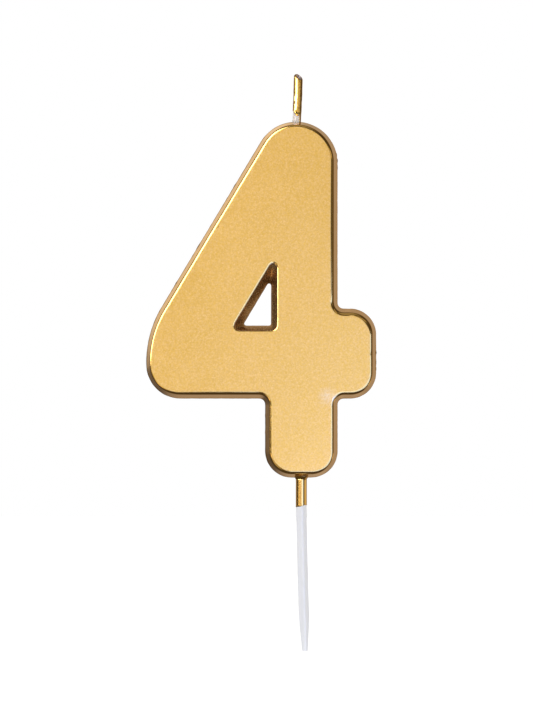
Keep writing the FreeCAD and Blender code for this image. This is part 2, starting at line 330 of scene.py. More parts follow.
def apply_modifiers(piece):
    """Replace a piece's mesh with the result of its modifiers."""
    graph = bpy.context.evaluated_depsgraph_get()
    result = bpy.data.meshes.new_from_object(piece.evaluated_get(graph))
    piece.modifiers.clear()
    old = piece.data
    piece.data = result
    bpy.data.meshes.remove(old)


# ------------ the lacquered figure

# Crumbs of flash that stand out of the parting line: x, z, reach and height.
CRUMBS = [
    (7.1, 63.6, 0.6, 0.07),
    (7.1, 62.4, 0.4, 0.09),
    (7.1, 61.0, 0.6, 0.05),
    (14.7, 24.6, 0.5, 0.08),
    (14.7, 22.7, 0.9, 0.05),
    (14.7, 21.4, 0.4, 0.06),
    (-13.2, 57.4, 0.8, 0.05),
    (-20.3, 45.6, 0.9, 0.05),
    (-24.6, 38.3, 0.6, 0.05),
    (-7.1, 12.2, 0.5, 0.05),
    (-7.1, 8.9, 0.5, 0.05),
]
# Pits in the lacquer beside the front edge: x, z, reach and depth.
PITS = [
    (-14.05, 54.7, 0.28, 0.16),
    (-16.3, 49.2, 0.25, 0.08),
    (13.6, 24.5, 0.25, 0.08),
    (-8.6, 64.9, 0.22, 0.07),
]
# A shallow dent under the crossbar: x, z, half width, half height, depth and lean.
DENT = (4.9, 15.6, 0.8, 1.7, 0.1, 0.25)
# Slow waves of the surfaces, as heights, lengths and seeds.
FLASH = 0.035
FLASH_WAVES = ((0.02, 1.1, 3.0), (0.015, 0.4, 8.0))
THIN_FLASH = 0.03
THIN_FLASH_WAVES = ((0.02, 0.8, 6.0),)
FACE_WAVES = ((0.012, 9.0, 1.0), (0.004, 3.0, 2.0))
WALL_WAVES = ((0.014, 2.6, 4.0), (0.006, 0.9, 5.0))
# The back's relief is the front's, mirrored, this much weaker and lower.
BACK_SHARE = 0.5
BACK_LOWER = 7
# Depths between which the ridge ends, the face's relief starts and the walls' ends.
FLASH_ENDS = (0.08, 0.36)
RELIEF_STARTS = (4.0, 4.4)
WALL_WAVES_END = (4.35, 4.5)


def flash(x, z):
    """How far the parting line stands out at a place on the outline."""
    ridge = waves((x, 0, z), FLASH_WAVES, FLASH)
    for crumb_x, crumb_z, reach, height in CRUMBS:
        ridge += height * hump(dist((x, z), (crumb_x, crumb_z)) / reach)
    return max(0.0, ridge)


def thin_flash(x, z):
    """How far the parting line stands out inside the opening."""
    return waves((x, 0, z), THIN_FLASH_WAVES, THIN_FLASH)


def face_relief(x, z):
    """How far the front face stands out from flat: slow waves, a dent and pits."""
    relief = waves((x, 0, z), FACE_WAVES)
    dent_x, dent_z, half_width, half_height, depth, lean = DENT
    across = (x - dent_x - lean * (z - dent_z)) / half_width
    relief -= depth * hump(hypot(across, (z - dent_z) / half_height))
    for pit_x, pit_z, reach, depth in PITS:
        relief -= depth * hump(dist((x, z), (pit_x, pit_z)) / reach, 1)
    return relief


def back_relief(x, z):
    """How far the back face stands out from flat."""
    return BACK_SHARE * face_relief(-x, z + BACK_LOWER)


def edge_waver(x, z, y):
    """Slight unevenness of the walls and rounded edges, outwards."""
    return waves((x, y, z), WALL_WAVES)


def outline_normals(points):
    """Unit vectors out of an anticlockwise outline."""
    normals = []
    for i in range(len(points)):
        (ax, az), (bx, bz) = points[i - 1], points[(i + 1) % len(points)]
        along = dist((ax, az), (bx, bz)) or 1.0
        normals.append(((bz - az) / along, (ax - bx) / along))
    return normals


def outer_rounding(normal, place):
    """Radius of the figure's outer edge at a place on its outline."""
    nx, nz = normal
    radius = EDGE_ROUND + EDGE_MORE_RIGHT * max(0.0, nx) + EDGE_MORE_UP * max(0.0, nz)
    radius += EDGE_MORE_DOWN * max(0.0, -nz) ** 2
    for x, z, reach, change in EDGE_WEAR:
        radius += change * hump(dist(place, (x, z)) / reach)
    return min(radius, SOFTEST_EDGE)


def wall_rings(place_at, normals, roundings, wall_slope, ridge_at):
    """Rings of one outline from face to face, front first. place_at gives points for
    depths and insets, normals point out of the wax, ridge_at gives the flash."""
    profiles = {r: edge_profile(wall_slope, r) for r in set(roundings)}
    levels = len(profiles[roundings[0]])
    rings = []
    for side in (-1, 1):
        numbers = range(levels - 1, -1, -1) if side < 0 else range(1, levels)
        relief_at = face_relief if side < 0 else back_relief
        for number in numbers:
            steps = [profiles[r][number] for r in roundings]
            points = place_at([depth for _, depth in steps], [inset for inset, _ in steps])
            ring = []
            for (x, z), (nx, nz), (_, depth) in zip(points, normals, steps):
                y = side * depth
                out = edge_waver(x, z, y) * (1 - smooth(depth, *WALL_WAVES_END))
                out += ridge_at(x, z) * (1 - smooth(depth, *FLASH_ENDS))
                x += nx * out
                z += nz * out
                y += side * relief_at(x, z) * smooth(depth, *RELIEF_STARTS)
                ring.append((x, y, z))
            rings.append(ring)
    return rings


def face_grid(outer, hole):
    """A grid of points on a face, clear of its outline and of the hole in it."""
    low_x = min(x for x, _ in outer)
    high_x = max(x for x, _ in outer)
    high_z = max(z for _, z in outer)
    z = min(z for _, z in outer) + FACE_GRID / 2
    grid = []
    row = 0
    while z < high_z:
        x = low_x + FACE_GRID * (0.5 if row % 2 else 0.0)
        while x < high_x:
            if inside((x, z), outer) and not inside((x, z), hole):
                if min(dist((x, z), point) for point in outer + hole) > FACE_CLEAR:
                    grid.append((x, z))
            x += FACE_GRID
        z += FACE_GRID * sqrt(3) / 2
        row += 1
    return grid


def face_fill(outer, hole):
    """A face's grid, and triangles over the points of outline, hole and grid."""
    grid = face_grid(outer, hole)
    points = [Vector(point) for point in outer + hole + grid]
    edges = []
    for first, count in ((0, len(outer)), (len(outer), len(hole))):
        edges += [(first + i, first + (i + 1) % count) for i in range(count)]
    result = delaunay_2d_cdt(points, edges, [], 1, 1e-7)
    triangles = []
    for face in result[2]:
        middle = sum((points[i] for i in face), Vector((0.0, 0.0))) / len(face)
        if inside(middle, outer) and not inside(middle, hole):
            triangles.append(tuple(face))
    return grid, triangles


def outer_wall():
    """Rings round the figure, from the front face to the back."""
    outline, counts = figure_outline(0.0)
    inset_outline, _ = figure_outline(1.0, counts)
    inwards = [(bx - ax, bz - az) for (ax, az), (bx, bz) in zip(outline, inset_outline)]

    def outer_at(_, insets):
        moves = zip(outline, inwards, insets)
        return [(x + inset * dx, z + inset * dz) for (x, z), (dx, dz), inset in moves]

    normals = outline_normals(outline)
    roundings = [round(outer_rounding(n, p), 3) for n, p in zip(normals, outline)]
    return wall_rings(outer_at, normals, roundings, DRAFT, flash)


def opening_wall():
    """Rings round the opening, from the front face to the back."""
    middle, counts = opening_outline(0.0, 0.0)
    at_face, _ = opening_outline(1.0, 0.0, counts)
    widened, _ = opening_outline(0.0, 1.0, counts)
    slope = (OPENING_FACE[0] - OPENING_MIDDLE[0]) / HALF_THICKNESS

    def opening_at(depths, insets):
        points = []
        outlines = zip(middle, at_face, widened, depths, insets)
        for (x, z), (fx, fz), (wx, wz), depth, inset in outlines:
            out = (depth / HALF_THICKNESS) ** WALL_HOLLOW
            wide = inset - slope * depth
            px = x + out * (fx - x) + wide * (wx - x)
            pz = z + out * (fz - z) + wide * (wz - z)
            points.append((px, pz))
        return points

    normals = [(-nx, -nz) for nx, nz in outline_normals(at_face)]
    less = [OPENING_RIGHT_LESS * max(0.0, -nx) for nx, _ in normals]
    roundings = [round(OPENING_ROUND - share, 3) for share in less]
    return wall_rings(opening_at, normals, roundings, slope, thin_flash)


def figure_mesh():
    """Vertices and faces of the whole closed figure."""
    outer_rings = outer_wall()
    opening_rings = opening_wall()
    vertices, faces = [], []
    for rings, flip in ((outer_rings, False), (opening_rings, True)):
        faces += tube(rings, len(vertices), flip=flip)
        for ring in rings:
            vertices += ring
    outer_count, opening_count = len(outer_rings[0]), len(opening_rings[0])
    opening_start = len(outer_rings) * outer_count
    for side, ring_number in ((-1, 0), (1, len(outer_rings) - 1)):
        outer = [(x, z) for x, _, z in outer_rings[ring_number]]
        hole = [(x, z) for x, _, z in opening_rings[ring_number]]
        grid, triangles = face_fill(outer, hole)
        outer_first = ring_number * outer_count
        opening_first = opening_start + ring_number * opening_count
        numbers = [outer_first + i for i in range(outer_count)]
        numbers += [opening_first + i for i in range(opening_count)]
        numbers += [len(vertices) + i for i in range(len(grid))]
        relief_at = face_relief if side < 0 else back_relief
        for x, z in grid:
            vertices.append((x, side * (HALF_THICKNESS + relief_at(x, z)), z))
        faces += [tuple(numbers[i] for i in triangle) for triangle in triangles]
    return vertices, faces


# The wick's axis leans to the right from the crown, and bends a little.
WICK_ROOT = Vector((-0.95, 0.0, CROWN))
WICK_LEAN = radians(3.2)
WICK_BEND = -0.0016
WICK_ACROSS = Vector((cos(WICK_LEAN), 0.0, -sin(WICK_LEAN)))
WICK_ALONG = Vector((sin(WICK_LEAN), 0.0, cos(WICK_LEAN)))
WICK_LENGTH = 9.05
COAT_RADIUS = 0.855
# The wick is not quite round: by how much, and which way it bulges.
WICK_SQUEEZE = 0.05
WICK_BULGE = radians(-70)
# The pick is a square section set on edge: its side, edges and ends, and its socket.
PICK_SIDE = 1.65
PICK_EDGE = 0.22
PICK_DEPTH = -PICK_LOW[2]
SHANK_TOP = PICK_HIGH[2]
SOCKET_SIDE = 1.9
SOCKET_EDGE = 0.26
CORNER_POINTS = 5
FLAT_POINTS = 3
# The holes for wick and pick, and how deep and how far out their cutters reach.
WICK_HOLE = COAT_RADIUS + 0.01
HOLE_SIDES = 48
WICK_CUT = (-1.2, 1.5)
PICK_CUT = (-1.0, 1.2)
# A face counts as a cutter's within these factors of its hole's size, and above or
# below these heights.
CUT_SLACK = 1.002
SOCKET_SLACK = 1.02
WICK_HOLE_LOW = CROWN - 3
PICK_HOLE_HIGH = 1.5


def wick_point(height, radius, angle):
    """A point round the wick, at a height above the crown and an angle from +X to +Y."""
    bend = WICK_BEND * max(0.0, height) ** 2
    centre = WICK_ROOT + WICK_ALONG * height + WICK_ACROSS * bend
    radius *= 1 + WICK_SQUEEZE * cos(2 * (angle - WICK_BULGE))
    out = WICK_ACROSS * (radius * cos(angle))
    return centre + out + Vector((0, radius * sin(angle), 0))


def angles_from(first, count):
    """Even angles once round, in radians."""
    return [first + 2 * pi * i / count for i in range(count)]


def square_ring(side, edge):
    """Points round a square with rounded corners, set on edge, from the corner at +X."""
    reach = (side / 2 - edge) * sqrt(2)
    eighth = pi / 4

    def corner_point(corner, angle):
        x = reach + edge * cos(angle)
        y = edge * sin(angle)
        c, s = cos(corner * pi / 2), sin(corner * pi / 2)
        return (x * c - y * s, x * s + y * c)

    points = []
    for corner in range(4):
        for step in range(CORNER_POINTS):
            angle = -eighth + pi / 2 * step / (CORNER_POINTS - 1)
            points.append(corner_point(corner, angle))
        ends = (points[-1], corner_point(corner + 1, -eighth))
        for step in range(1, FLAT_POINTS + 1):
            points.append(between(*ends, step / (FLAT_POINTS + 1)))
    return points


def cut_holes(piece):
    """Cut the skin open where the wick comes out and the pick goes in."""
    turns = angles_from(0.0, HOLE_SIDES)
    wick_rings = [[wick_point(z, WICK_HOLE, turn) for turn in turns] for z in WICK_CUT]
    square = square_ring(SOCKET_SIDE, SOCKET_EDGE)
    pick_rings = [[(x, y, z) for x, y in square] for z in PICK_CUT]
    vertices, faces = stacked(wick_rings, False)
    more_vertices, more_faces = stacked(pick_rings, False, len(vertices))
    mesh = bpy.data.meshes.new("cutter")
    all_vertices = [Vector(vertex) * MM for vertex in vertices + more_vertices]
    mesh.from_pydata(all_vertices, [], faces + more_faces)
    cutter = new_object("cutter", mesh)
    boolean = piece.modifiers.new("holes", "BOOLEAN")
    boolean.operation = "DIFFERENCE"
    boolean.solver = "EXACT"
    boolean.object = cutter
    apply_modifiers(piece)
    bpy.data.objects.remove(cutter)
    bpy.data.meshes.remove(mesh)

    def from_cutter(face):
        middle = face.calc_center_median() / MM
        if middle.z > CROWN / 2:
            offset = middle - WICK_ROOT
            away = (offset - WICK_ALONG * offset.dot(WICK_ALONG)).length
            return middle.z > WICK_HOLE_LOW and away < WICK_HOLE * CUT_SLACK
        reach = SOCKET_SIDE / 2 * sqrt(2) * SOCKET_SLACK
        return middle.z < PICK_HOLE_HIGH and abs(middle.x) + abs(middle.y) < reach

    form = bmesh.new()
    form.from_mesh(piece.data)
    doomed = [face for face in form.faces if from_cutter(face)]
    bmesh.ops.delete(form, geom=doomed, context="FACES")
    form.to_mesh(piece.data)
    form.free()


def add_thickness(piece):
    """Turn the open skin into a closed shell, inwards."""
    solidify = piece.modifiers.new("thickness", "SOLIDIFY")
    solidify.thickness = FILM * MM
    solidify.offset = -1
    solidify.use_even_offset = True
    apply_modifiers(piece)


# ------------ wick and pick

# The lower edge of the wick's lacquer above the crown. Its waves are given as height,
# number and phase.
WICK_EDGE = 1.95
WICK_EDGE_WAVES = ((0.15, 2, 0.7), (0.1, 5, 0.0))
# The drip: its lowest point's angle and height, how much it rises over a span of
# angle, and between which angles it ends behind.
DRIP_ANGLE = -80
DRIP_HEIGHT = 1.12
DRIP_RISE = 1.15
DRIP_SPAN = 75
DRIP_ENDS = (150, 180)
# The run: its two sides, half the angle each takes to come down, and its lower end.
RUN_LEFT = -55
RUN_RIGHT = 24
RUN_LEFT_SOFT = 4
RUN_RIGHT_SOFT = 6
RUN_END = -0.35


def lower_edge(angle):
    """Height above the crown where the wick's lacquer ends, at an angle in degrees
    with the front at -90. A drip hangs at the front left, and a run goes down to the
    figure at the front right."""
    turn = radians(angle)
    edge = WICK_EDGE
    for height, number, phase in WICK_EDGE_WAVES:
        edge += height * sin(number * turn + phase)
    if angle < RUN_LEFT + RUN_RIGHT_SOFT:
        drip = DRIP_HEIGHT + DRIP_RISE * ((angle - DRIP_ANGLE) / DRIP_SPAN) ** 2
        edge = mix(drip, edge, smooth(-angle, *DRIP_ENDS))
    in_run = smooth(angle, RUN_LEFT - RUN_LEFT_SOFT, RUN_LEFT + RUN_LEFT_SOFT)
    in_run *= 1 - smooth(angle, RUN_RIGHT - RUN_RIGHT_SOFT, RUN_RIGHT + RUN_RIGHT_SOFT)
    return mix(edge, RUN_END, in_run)


# The wick's mesh, and its cut: slopes to the left and the back, drop and rounding.
WICK_COLUMNS = 120
WICK_ROWS = 56
TIP_SLANT = tan(radians(19))
TIP_FORWARD = tan(radians(26))
TIP_DROP = 0.12
TIP_ROUND = 0.3


def tip_height(radius, angle):
    """Height of the wick's slanted cut, higher at the left and the back."""
    slant = -TIP_SLANT * radius * cos(angle)
    forward = TIP_FORWARD * radius * sin(angle)
    return WICK_LENGTH + slant + forward - TIP_DROP


def wick_lumps(height, angle):
    """Unevenness of the wick's surface: slow lumps drawn out along it."""
    x, y = cos(angle) * 0.9, sin(angle) * 0.9
    slow = wobble((x, y, height * 0.45), 0.7, 11.0)
    fine = wobble((x, y, height * 0.8), 0.3, 12.0)
    return 0.045 * slow + 0.02 * fine


# The lacquer on the wick: its film, how near its edge that thins, the bead beside the
# edge, and how it lies against the wax.
WICK_FILM = 0.055
EDGE_THINS = 0.1
BEAD_HEIGHT = 0.15
BEAD_WIDTH = 0.6
UNDER_FILM = 0.01
LIP_OUT = 0.045
# The lip over the cut: shares of its reach, and drops.
LIP_STEPS = ((0.3, 0.0), (0.85, 0.0), (1.0, 0.03), (0.9, 0.05))
# The lower edge as a line, every half degree: places round the wick and heights.
HALF_DEGREES = [i / 2 - 180 for i in range(720)]
WICK_EDGE_LINE = [(radians(at) * COAT_RADIUS, lower_edge(at)) for at in HALF_DEGREES]


def edge_distance(angle, height):
    """Distance of a place on the wick from the lacquer's lower edge, if it is near."""
    turn = 2 * pi * COAT_RADIUS
    best = 9.0
    for at, rise in WICK_EDGE_LINE:
        across = abs(at - angle * COAT_RADIUS)
        across = min(across, turn - across)
        if across < 0.5:
            best = min(best, hypot(across, height - rise))
    return best


def wick_film(away, height, angle):
    """Thickness of the wick's lacquer at a distance from its edge, with the bead."""
    film = WICK_FILM * sqrt(min(1.0, away / EDGE_THINS))
    bead = sin(pi * min(1.0, away / BEAD_WIDTH)) ** 1.5
    bead *= smooth(height, 0.2, 0.8) * smooth(-degrees(angle), 40, 70)
    return film + BEAD_HEIGHT * bead * (1 - smooth(-degrees(angle), 110, 145))


def make_wick_lacquer():
    """The lacquer sleeve: a bead along its lower edge, a run down to the figure, and
    a lip that wraps a little way over the cut, furthest at the left."""
    angles = angles_from(-pi, WICK_COLUMNS)
    lows = [lower_edge(degrees(angle)) for angle in angles]
    cuts = [tip_height(COAT_RADIUS, angle) for angle in angles]
    rim = COAT_RADIUS + LIP_OUT - TIP_ROUND
    rings = []
    for row in range(WICK_ROWS):
        share = (row / (WICK_ROWS - 1)) ** 1.25
        ring = []
        for angle, low, cut in zip(angles, lows, cuts):
            height = mix(low, cut - TIP_ROUND, share)
            film = wick_film(edge_distance(angle, height), height, angle)
            lumps = wick_lumps(height, angle) * smooth(height, 0.3, 1.6)
            ring.append(wick_point(height, COAT_RADIUS - UNDER_FILM + film + lumps, angle))
        rings.append(ring)
    for step in range(1, 7):
        bow = pi / 2 * step / 6
        ring = []
        for angle, cut in zip(angles, cuts):
            radius = rim + wick_lumps(WICK_LENGTH, angle) + TIP_ROUND * cos(bow)
            ring.append(wick_point(cut - TIP_ROUND * (1 - sin(bow)), radius, angle))
        rings.append(ring)
    for reach, drop in LIP_STEPS:
        ring = []
        for angle, cut in zip(angles, cuts):
            to_left = 0.5 - 0.5 * cos(angle)
            ragged = 0.8 + 0.4 * wobble((cos(angle), sin(angle), 0), 0.35, 14.0)
            lip = 0.04 + 0.35 * to_left ** 2 * ragged
            ring.append(wick_point(cut - drop, rim - lip * reach, angle))
        rings.append(ring)
    for row in range(12):
        ring = []
        for angle, low, cut in zip(angles, lows, cuts):
            height = mix(cut - TIP_ROUND - 0.15, low + 0.03, row / 11)
            ring.append(wick_point(height, COAT_RADIUS - 0.06, angle))
        rings.append(ring)
    shape = stacked(rings, True)
    new_piece("wick_lacquer", shape, CANDLE, ["wick_gold"], [GLOSS_GOLD])


# The slanted cut of the wax, from its rim inwards: radii and drops.
CUT_STEPS = ((0.76, 0.4), (0.7, 0.2), (0.6, 0.09), (0.5, 0.07), (0.36, 0.12), (0.15, 0.16))
# The coat's lowest ring, inside the figure, the step to the next, their number, and
# how far the coat lies inside its radius.
COAT_LOW = -1.05
COAT_STEP = 0.28
COAT_ROWS = 35
COAT_IN = 0.012


def make_wick_coat():
    """The white wax on the wick, slimmer under the lacquer, with its rough cut."""
    angles = angles_from(0.0, WICK_COLUMNS)
    rings = []
    for height in [COAT_LOW + COAT_STEP * i for i in range(COAT_ROWS)]:
        ring = []
        for angle in angles:
            lumps = (wick_lumps(height, angle) - 0.02) * smooth(height, 0.2, 0.8)
            lumps -= 0.06 * smooth(height, 2.6, 3.2)
            ring.append(wick_point(height, COAT_RADIUS - COAT_IN + lumps, angle))
        rings.append(ring)
    for radius, drop in CUT_STEPS:
        ring = []
        for angle in angles:
            place = (radius * cos(angle), radius * sin(angle), 0)
            height = tip_height(min(radius + 0.2, COAT_RADIUS), angle) - drop
            rough = 0.03 * wobble(place, 0.2, 15.0)
            ring.append(wick_point(height + rough, radius, angle))
        rings.append(ring)
    shape = stacked(rings, False)
    piece = new_piece("wick_coat", shape, CANDLE, ["wick_wax"], [WAX, CUT_WICK])
    for face in piece.data.polygons:
        if face.center.z > (CROWN + WICK_LENGTH - 1.2) * MM and face.normal.z > 0.4:
            face.material_index = 1


# The pick below the figure: its side and edges, where its point starts and ends in
# a smaller side, the sideways bend of its tip, and its turn.
BLADE_SIDE = 1.73
BLADE_EDGE = 0.4
POINT_START = -28.5
TIP_SIDE = 0.84
TIP_BEND = 0.72
PICK_TURN = radians(9)
# The gilded stretch of the pick: its ends, its reach sideways, its film, how square
# it is (2 would be round), and the points round it.
GILT_TOP = -0.22
GILT_END = -5.75
LACQUER_HALF = 1.09
PICK_FILM = 0.055
LACQUER_POWER = 3.0
RING_COUNT = 64


def blade_middle(z):
    """Sideways bend of the pick at a height."""
    if z > GILT_END:
        return 0.0
    share = (GILT_END - z) / (GILT_END + PICK_DEPTH)
    return TIP_BEND * share ** 1.25


def blade_side(z):
    """Side of the pick's square section at a height."""
    point = smooth(-z, -POINT_START - 2.0, PICK_DEPTH + 4.5)
    full = mix(BLADE_SIDE, PICK_SIDE, smooth(z, -0.3, -0.1))
    taper = mix(full, TIP_SIDE, min(1.0, 1.2 * point))
    lead = 0.7 * smooth(z, SHANK_TOP - 0.6, SHANK_TOP)
    return taper - lead + 0.012 * wobble((0, 0, z), 4.0, 21.0)


def turned(ring, share=1.0):
    """A ring turned with the blade, or by a share of that."""
    c, s = cos(share * PICK_TURN), sin(share * PICK_TURN)
    return [(c * x - s * y, s * x + c * y) for x, y in ring]


def full_ring(half):
    """Points round a square set on edge, with full sides and broad corners, as lacquer
    leaves them. It reaches half sideways, and starts at +X."""
    points = []
    reach = half * 2 ** (1 / LACQUER_POWER) / 2
    for i in range(RING_COUNT):
        angle = 2 * pi * i / RING_COUNT + pi / 4
        c, s = cos(angle), sin(angle)
        u = copysign(abs(c) ** (2 / LACQUER_POWER), c)
        v = copysign(abs(s) ** (2 / LACQUER_POWER), s)
        points.append(((u + v) * reach, (v - u) * reach))
    return turned(points)


def blade_ring(section, wide, deep, z):
    """A section of the blade, stretched by two factors and set at a height."""
    return [(x * wide + blade_middle(z), y * deep, z) for x, y in section]


def make_pick_blade():
    """The moulded pick: rounded edges, gently drawn faces, a bend and a round tip."""
    heights = [SHANK_TOP - i * 0.1 for i in range(8)]
    z = SHANK_TOP - 1.2
    while z > -PICK_DEPTH + 1.2:
        heights.append(z)
        z -= 0.1 if -0.6 < z < 0.2 else 0.45
    heights += [-PICK_DEPTH + 1.0 - 0.12 * i for i in range(6)]
    rings = []
    for z in heights:
        side = blade_side(z)
        edge = min(mix(BLADE_EDGE, PICK_EDGE, smooth(z, -0.3, -0.1)), side * 0.3)
        draw = 0.012 * wobble((3, 0, z), 6.0, 22.0)
        # The pick isn't twisted in its square socket.
        section = turned(square_ring(side, edge), 1 - smooth(z, -0.5, 0.0))
        rings.append(blade_ring(section, 1 + draw, 1 - draw, z))
    # The rounded end below the last full section.
    last_z = heights[-1]
    side = blade_side(last_z)
    for step in range(1, 8):
        angle = pi / 2 * step / 7.6
        z = last_z - (last_z + PICK_DEPTH) * sin(angle)
        section = turned(square_ring(side, side * 0.3))
        rings.append(blade_ring(section, cos(angle), cos(angle), z))
    shape = stacked(rings, False)
    new_piece("pick_blade", shape, PICK, ["pick"], [PLASTIC])


# The gilded stretch's rounded ends: distances from the end and changes of reach.
GILT_FOOT = ((0.0, -0.045), (0.03, -0.01), (0.1, 0.012), (0.3, 0.0))
GILT_HEAD = ((0.5, 0.0), (0.25, 0.0), (0.12, -0.004), (0.03, -0.018), (0.0, -0.045))
GILT_ROWS = 14


def gilt_foot(turn):
    """Height of the gilded stretch's uneven lower edge at an angle round it."""
    ragged = wobble((4 * cos(turn), 4 * sin(turn), 0), 1.0, 31.0)
    return GILT_END + 0.1 + 0.2 * cos(turn + 0.3) + 0.06 * ragged


def make_pick_lacquer():
    """The gold on the top of the pick: a rounded upper end and an uneven lower edge."""
    feet = [gilt_foot(turn) for turn in angles_from(0.0, RING_COUNT)]
    rings = []

    def add_ring(reach, heights):
        points = zip(full_ring(reach), heights)
        rings.append([(x + blade_middle(z), y, z) for (x, y), z in points])

    for rise, change in GILT_FOOT:
        add_ring(LACQUER_HALF + change, [foot + rise for foot in feet])
    for step in range(1, GILT_ROWS):
        ring = []
        for foot, (x, y) in zip(feet, full_ring(LACQUER_HALF)):
            z = mix(foot + GILT_FOOT[-1][0], GILT_TOP - GILT_HEAD[0][0], step / GILT_ROWS)
            swell = 1 + 0.008 * wobble((x, y, 0.6 * z), 1.2, 32.0)
            ring.append((x * swell + blade_middle(z), y * swell, z))
        rings.append(ring)
    for fall, change in GILT_HEAD:
        add_ring(LACQUER_HALF + change, [GILT_TOP - fall] * RING_COUNT)
    for share in (1.0, 0.66, 0.33, 0.0):
        heights = [mix(foot + 0.01, GILT_TOP - 0.01, share) for foot in feet]
        add_ring(LACQUER_HALF - PICK_FILM, heights)
    shape = stacked(rings, True)
    new_piece("pick_lacquer", shape, PICK, ["pick_gold"], [GLOSS_GOLD])


# The flared rim round the pick's hole: radius, height and how round it still is, from
# the figure's foot down to its lip and up inside.
RIM_STEPS = [
    (1.4, 0.02, 1.0),
    (1.33, -0.03, 1.0),
    (1.27, -0.1, 0.8),
    (1.22, -0.17, 0.6),
    (1.175, -0.24, 0.3),
    (1.14, -0.3, 0.1),
    (1.122, -0.33, 0.0),
    (1.116, -0.3, 0.0),
    (1.115, -0.2, 0.0),
    (1.115, 0.3, 0.0),
]
# The rim's lip, how far out the rim follows the foot in full, how much wider it flares
# to the front and back, and where its waves set in.
RIM_LIP = 1.12
RIM_FLARE = 0.2
RIM_WIDER = 0.6
RIM_WAVES_START = (0.05, 0.15)


def make_socket_rim():
    """The ring of lacquer round the pick's hole, flaring into the figure's foot."""
    rings = []
    for radius, height, roundness in RIM_STEPS:
        flare = radius - RIM_LIP
        followed = min(1.0, max(0.0, flare / RIM_FLARE))
        ring = []
        for x, y in full_ring(radius):
            away = hypot(x, y)
            x, y = x / away, y / away
            reach = mix(away, radius, roundness) + RIM_WIDER * y * y * flare
            wave = 0.012 * wobble((2 * x, 2 * y, height), 0.8, 41.0)
            wave *= smooth(flare, *RIM_WAVES_START)
            z = height + DRAFT * abs(y) * reach * followed + wave
            ring.append((x * (reach + wave), y * (reach + wave), z))
        rings.append(ring)
    shape = stacked(rings, True)
    new_piece("socket_rim", shape, CANDLE, materials=[GLOSS_GOLD])


# ------------ materials


class Nodes:
    """Builds nodes in one tree, with their inputs set or linked."""

    def __init__(self, tree):
        self.tree = tree

    def fill(self, socket, value):
        """Link an output to a socket, or set its value. A bare colour is opaque."""
        if isinstance(value, bpy.types.NodeSocket):
            self.tree.links.new(value, socket)
        elif socket.type == "RGBA" and len(value) == 3:
            socket.default_value = (*value, 1.0)
        else:
            socket.default_value = value

    def add(self, kind, inputs, **properties):
        """A node of a kind, given its inputs by name or number."""
        node = self.tree.nodes.new("ShaderNode" + kind)
        for name, value in properties.items():
            setattr(node, name, value)
        for name, value in inputs.items():
            self.fill(node.inputs[name], value)
        return node


class Surface(Nodes):
    """Short names for building one material. Sizes are in millimetres."""

    def __init__(self, name):
        self.material = bpy.data.materials.new(name)
        self.material.use_nodes = True
        super().__init__(self.material.node_tree)
        self.shader = self.tree.nodes["Principled BSDF"]
        place = self.add("TexCoord", {}).outputs["Object"]
        self.place = self.scaled(place, (1 / MM, 1 / MM, 1 / MM))

    def scaled(self, place, scale):
        """A place, squeezed along each axis by a factor."""
        return self.add("Mapping", {"Scale": scale, "Vector": place}).outputs["Vector"]

    def noise(self, size, detail=3.0, squeeze=None):
        """Noise whose features measure about size, squeezed along each axis."""
        place = self.scaled(self.place, squeeze) if squeeze else self.place
        inputs = {"Scale": 1 / size, "Detail": detail, "Roughness": 0.5, "Vector": place}
        return self.add("TexNoise", inputs).outputs["Fac"]

    def flakes(self, size):
        """Cells of about size, each with its own grey."""
        return self.add("TexVoronoi", {"Scale": 1 / size, "Vector": self.place}).outputs["Color"]

    def spread(self, value, low, high, from_low=0.3, from_high=0.7):
        """A value from one range fitted to another, held at its ends."""
        ends = {"From Min": from_low, "From Max": from_high, "To Min": low, "To Max": high}
        return self.add("MapRange", {**ends, "Value": value}).outputs["Result"]

    def near(self, place, reach):
        """1 at a place, falling to 0 at a reach from it."""
        node = self.add("VectorMath", {0: self.place, 1: place}, operation="DISTANCE")
        return self.spread(node.outputs["Value"], 1.0, 0.0, 0.0, reach)

    def math(self, operation, first, second):
        """A sum or product of two values."""
        return self.add("Math", {0: first, 1: second}, operation=operation).outputs["Value"]

    def blend(self, share, first, second):
        """A mix of two colours."""
        inputs = {"Factor": share, "A": first, "B": second}
        return self.add("Mix", inputs, data_type="RGBA").outputs["Result"]

    def between(self, value, first, second):
        """A mix of two colours by a noise."""
        return self.blend(self.spread(value, 0.0, 1.0), first, second)

    def bump(self, height, depth, under=None):
        """A normal from a height of 0 to 1 over a depth, on another normal."""
        inputs = {"Strength": 1.0, "Distance": depth * MM, "Height": height}
        if under:
            inputs["Normal"] = under
        return self.add("Bump", inputs).outputs["Normal"]

    def set(self, **values):
        """Fill sockets of the shader, by names with spaces as underscores."""
        for name, value in values.items():
            self.fill(self.shader.inputs[name.replace("_", " ")], value)
        return self.material


# A painted highlight: the base colour is paler in patches round the front face's dent. Its place
# in millimetres, and how far round it.
DENT_HIGHLIGHT_PLACE = (5.1, -4.5, 15.9)
DENT_HIGHLIGHT_REACH = 2.1


